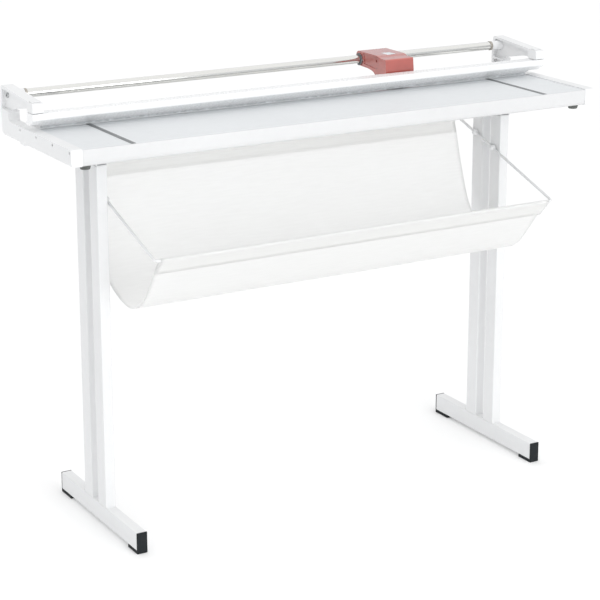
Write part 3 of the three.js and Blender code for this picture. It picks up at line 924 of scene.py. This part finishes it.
def frame_screws():
    """The screws in the end frames' rails."""
    for side, sign in SIDES.items():
        bm = bmesh.new()
        for y, z in FRAME_SCREWS:
            centre = (sign * SCREW_SEAT * MM, y * MM, z * MM)
            screw_head(bm, centre, (sign, 0, 0), 3.2 * MM, 2.8 * MM)
        finished(f"{side}_frame_screws", bm, [zinc], f"{side}_end_frame")


def frame_bosses():
    """A pad low on each end frame's rounded outer edge."""
    outline = softened([(74, 950.4), (106, 950.4), (106, 962), (74, 962)], 5, closed=True)
    inside = FRAME_OUTER - 21
    shoulder = FRAME_OUTER - 1
    face = FRAME_OUTER - 0.2
    for side, sign in SIDES.items():
        levels = [(sign * x, scale) for x, scale in ((inside, 1.0), (shoulder, 1.0), (face, 0.94))]
        bm = prism(outline, levels)
        finished(f"{side}_frame_boss", bm, [cast_paint], f"{side}_end_frame")


def bearer_bolts():
    """Bolts up through each top bearer into the table's rails."""
    under = 904.7 * MM
    for side, sign in SIDES.items():
        bm = bmesh.new()
        for y in (46, 197):
            centre = (sign * STAND_X, y * MM, under)
            screw_head(bm, centre, (0, 0, -1), 6 * MM, 4 * MM)
        finished(f"{side}_bearer_bolts", bm, [zinc], f"{side}_top_bearer")


def weld_beads():
    """Fillet welds round the legs where they stand on the foot tubes."""
    radius = 1.6 * MM
    half_width = 13.5 * MM
    half_depth = 22.5 * MM
    foot_top = 53.4 * MM
    steps = 16
    for side, sign in SIDES.items():
        for place, y in (("front", 7 * MM), ("rear", 86 * MM)):
            node = f"{side}_{place}_leg"
            centre = Vector((sign * STAND_X, y, foot_top))
            bm = bmesh.new()
            for end in (-1, 1):
                path = [
                    centre + Vector((
                        half_width * 0.92 * (2 * i / steps - 1),
                        end * half_depth,
                        0.25 * radius * math.sin(2.4 * i)))
                    for i in range(steps + 1)
                ]
                swept(bm, path, radius, sides=10)
            finished(f"{side}_{place}_welds", bm, [paint], node)


def head_label():
    """A blank pale plate let into the head's top."""
    bm = bmesh.new()
    corners = [(290, 111), (315, 111), (315, 141), (290, 141)]
    outline = softened(corners, 2.0, closed=True)
    levels = ((0.0, 1070.8), (0.0, 1071.25), (0.35, 1071.4))
    middle = sum((Vector(corner) for corner in corners), Vector((0.0, 0.0))) / len(corners)
    rings = []
    for inset, z in levels:
        points = []
        for x, y in outline:
            inward = (middle - Vector((x, y))).normalized() * inset
            points.append(Vector(((x + inward.x) * MM, (y + inward.y) * MM, z * MM)))
        rings.append(points)
    loft(bm, rings)
    finished("head_label", bm, [label_plastic], "head_housing")


# ---------------------------------------------------------------- studio

def lay_floor():
    """A floor that reaches past every view."""
    half = 40.0
    bm = bmesh.new()
    corners = ((-half, -half), (half, -half), (half, half), (-half, half))
    bm.faces.new([bm.verts.new((x, y, 0.0)) for x, y in corners])
    mesh = bpy.data.meshes.new("floor")
    bm.to_mesh(mesh)
    bm.free()
    mesh.materials.append(pale_floor())
    floor = bpy.data.objects.new("floor", mesh)
    bpy.context.collection.objects.link(floor)


def light_room():
    """A white room that is darker towards the horizon, as a studio's far walls are."""
    world = bpy.data.worlds.new("studio")
    world.use_nodes = True
    tree = world.node_tree
    background = tree.nodes["Background"]
    coords = tree.nodes.new("ShaderNodeTexCoord")
    split = tree.nodes.new("ShaderNodeSeparateXYZ")
    ramp = tree.nodes.new("ShaderNodeValToRGB")
    tree.links.new(coords.outputs["Generated"], split.inputs["Vector"])
    tree.links.new(split.outputs["Z"], ramp.inputs["Fac"])
    tree.links.new(ramp.outputs["Color"], background.inputs["Color"])
    stops = ramp.color_ramp.elements
    stops[0].position = 0.05
    stops[0].color = (0.60, 0.62, 0.645, 1.0)
    stops[1].position = 0.5
    stops[1].color = (1.0, 1.0, 1.0, 1.0)
    background.inputs["Strength"].default_value = 1.1
    bpy.context.scene.world = world


def add_softbox(name, place, size, power):
    """A square soft light, aimed at the middle of the object."""
    data = bpy.data.lights.new(name, "AREA")
    data.shape = "SQUARE"
    data.size = size
    data.energy = power
    lamp = bpy.data.objects.new(name, data)
    lamp.location = place
    middle_of_object = Vector((0.0, 0.0, 0.7))
    lamp.rotation_euler = (middle_of_object - Vector(place)).to_track_quat("-Z", "Y").to_euler()
    lamp.visible_camera = False
    bpy.context.collection.objects.link(lamp)


set_camera()
refine_cad_pieces()
end_frames()
guide_tube()
tube_ends()
beam_pins()
beam_springs()
head_housing()
head_label()
guide_bushes()
blade_assembly()
press_rollers()
sling_rods()
sling_arms()
arm_clips()
sling_sheet()
frame_screws()
frame_bosses()
bearer_bolts()
weld_beads()
lay_floor()
light_room()
add_softbox("front", (0.3, -4.5, 1.5), 2.2, 62.0)
add_softbox("front_left", (-3.2, -3.6, 1.3), 2.0, 14.0)
bpy.context.scene.view_settings.view_transform = "Standard"
